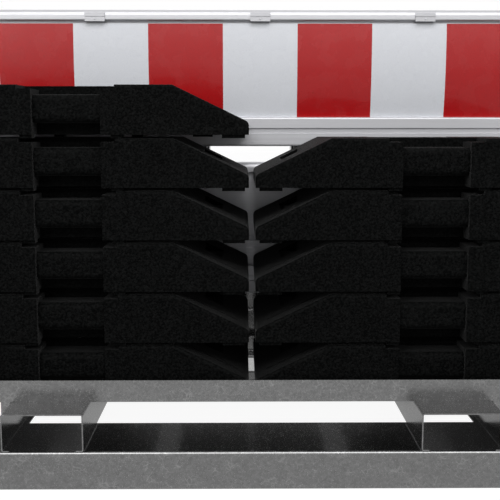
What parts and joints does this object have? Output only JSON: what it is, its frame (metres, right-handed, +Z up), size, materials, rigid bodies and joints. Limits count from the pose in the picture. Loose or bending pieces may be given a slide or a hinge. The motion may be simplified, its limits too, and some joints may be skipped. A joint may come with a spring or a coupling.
{
  "type": "ballasted road barricade",
  "caption": "Free-standing road barrier: two aluminium boards on two posts, the upper one red and white, over a galvanised skid base with stacked rubber ballast plates.",
  "frame": {"origin": "on the ground, under the middle of the boards' length and of the base's depth", "axes": "+X along the boards, +Z up, and the boards' red and white face looks along -Y"},
  "size_m": [2.2, 0.9, 1.112],
  "materials": {
    "galvanised_steel": "hot-dip galvanised, dull, with fine spangle",
    "aluminium_profile": "plain mill-finish extrusion",
    "zinc_plated_steel": "bright zinc plated",
    "grey_plastic": "moulded, matt",
    "red_film": "glossy retroreflective film on sheet",
    "white_film": "glossy retroreflective film on sheet",
    "black_rubber": "recycled moulded rubber with a fine grain"
  },
  "bodies": {
    "barrier": {"board_clamps": "aluminium_profile", "clamp_bolts": "zinc_plated_steel", "clamp_nuts": "zinc_plated_steel", "clip_screws": "zinc_plated_steel", "front_skid": "galvanised_steel", "left_fork_pocket": "galvanised_steel", "left_post": "galvanised_steel", "left_tray_leg": "galvanised_steel", "lower_board": "aluminium_profile", "lower_board_end_caps": "grey_plastic", "post_beam": "galvanised_steel", "post_caps": "grey_plastic", "post_tie_plate": "galvanised_steel", "rear_skid": "galvanised_steel", "red_sheeting": "red_film", "ribbed_rail": "aluminium_profile", "right_fork_pocket": "galvanised_steel", "right_post": "galvanised_steel", "right_tray_leg": "galvanised_steel", "sheeting_clips": "aluminium_profile", "top_board": "aluminium_profile", "top_board_end_caps": "grey_plastic", "tray_bearers": "galvanised_steel", "tray_front_rail": "galvanised_steel", "tray_left_rail": "galvanised_steel", "tray_rear_rail": "galvanised_steel", "tray_right_rail": "galvanised_steel", "white_sheeting": "white_film"},
    "left_plate_1": {"left_ballast_plate_1": "black_rubber"},
    "left_plate_2": {"left_ballast_plate_2": "black_rubber"},
    "left_plate_3": {"left_ballast_plate_3": "black_rubber"},
    "left_plate_4": {"left_ballast_plate_4": "black_rubber"},
    "left_plate_5": {"left_ballast_plate_5": "black_rubber"},
    "left_plate_6": {"left_ballast_plate_6": "black_rubber"},
    "right_plate_1": {"right_ballast_plate_1": "black_rubber"},
    "right_plate_2": {"right_ballast_plate_2": "black_rubber"},
    "right_plate_3": {"right_ballast_plate_3": "black_rubber"},
    "right_plate_4": {"right_ballast_plate_4": "black_rubber"},
    "right_plate_5": {"right_ballast_plate_5": "black_rubber"}
  },
  "joints": [
    {"name": "left_plate_1_lift", "type": "slide", "parent": "barrier", "child": "left_plate_1", "axis": [0, 0, 1], "range_m": [0, 0.25]},
    {"name": "left_plate_2_lift", "type": "slide", "parent": "left_plate_1", "child": "left_plate_2", "axis": [0, 0, 1], "range_m": [0, 0.25]},
    {"name": "left_plate_3_lift", "type": "slide", "parent": "left_plate_2", "child": "left_plate_3", "axis": [0, 0, 1], "range_m": [0, 0.25]},
    {"name": "left_plate_4_lift", "type": "slide", "parent": "left_plate_3", "child": "left_plate_4", "axis": [0, 0, 1], "range_m": [0, 0.25]},
    {"name": "left_plate_5_lift", "type": "slide", "parent": "left_plate_4", "child": "left_plate_5", "axis": [0, 0, 1], "range_m": [0, 0.25]},
    {"name": "left_plate_6_lift", "type": "slide", "parent": "left_plate_5", "child": "left_plate_6", "axis": [0, 0, 1], "range_m": [0, 0.25]},
    {"name": "right_plate_1_lift", "type": "slide", "parent": "barrier", "child": "right_plate_1", "axis": [0, 0, 1], "range_m": [0, 0.25]},
    {"name": "right_plate_2_lift", "type": "slide", "parent": "right_plate_1", "child": "right_plate_2", "axis": [0, 0, 1], "range_m": [0, 0.25]},
    {"name": "right_plate_3_lift", "type": "slide", "parent": "right_plate_2", "child": "right_plate_3", "axis": [0, 0, 1], "range_m": [0, 0.25]},
    {"name": "right_plate_4_lift", "type": "slide", "parent": "right_plate_3", "child": "right_plate_4", "axis": [0, 0, 1], "range_m": [0, 0.25]},
    {"name": "right_plate_5_lift", "type": "slide", "parent": "right_plate_4", "child": "right_plate_5", "axis": [0, 0, 1], "range_m": [0, 0.25]}
  ]
}
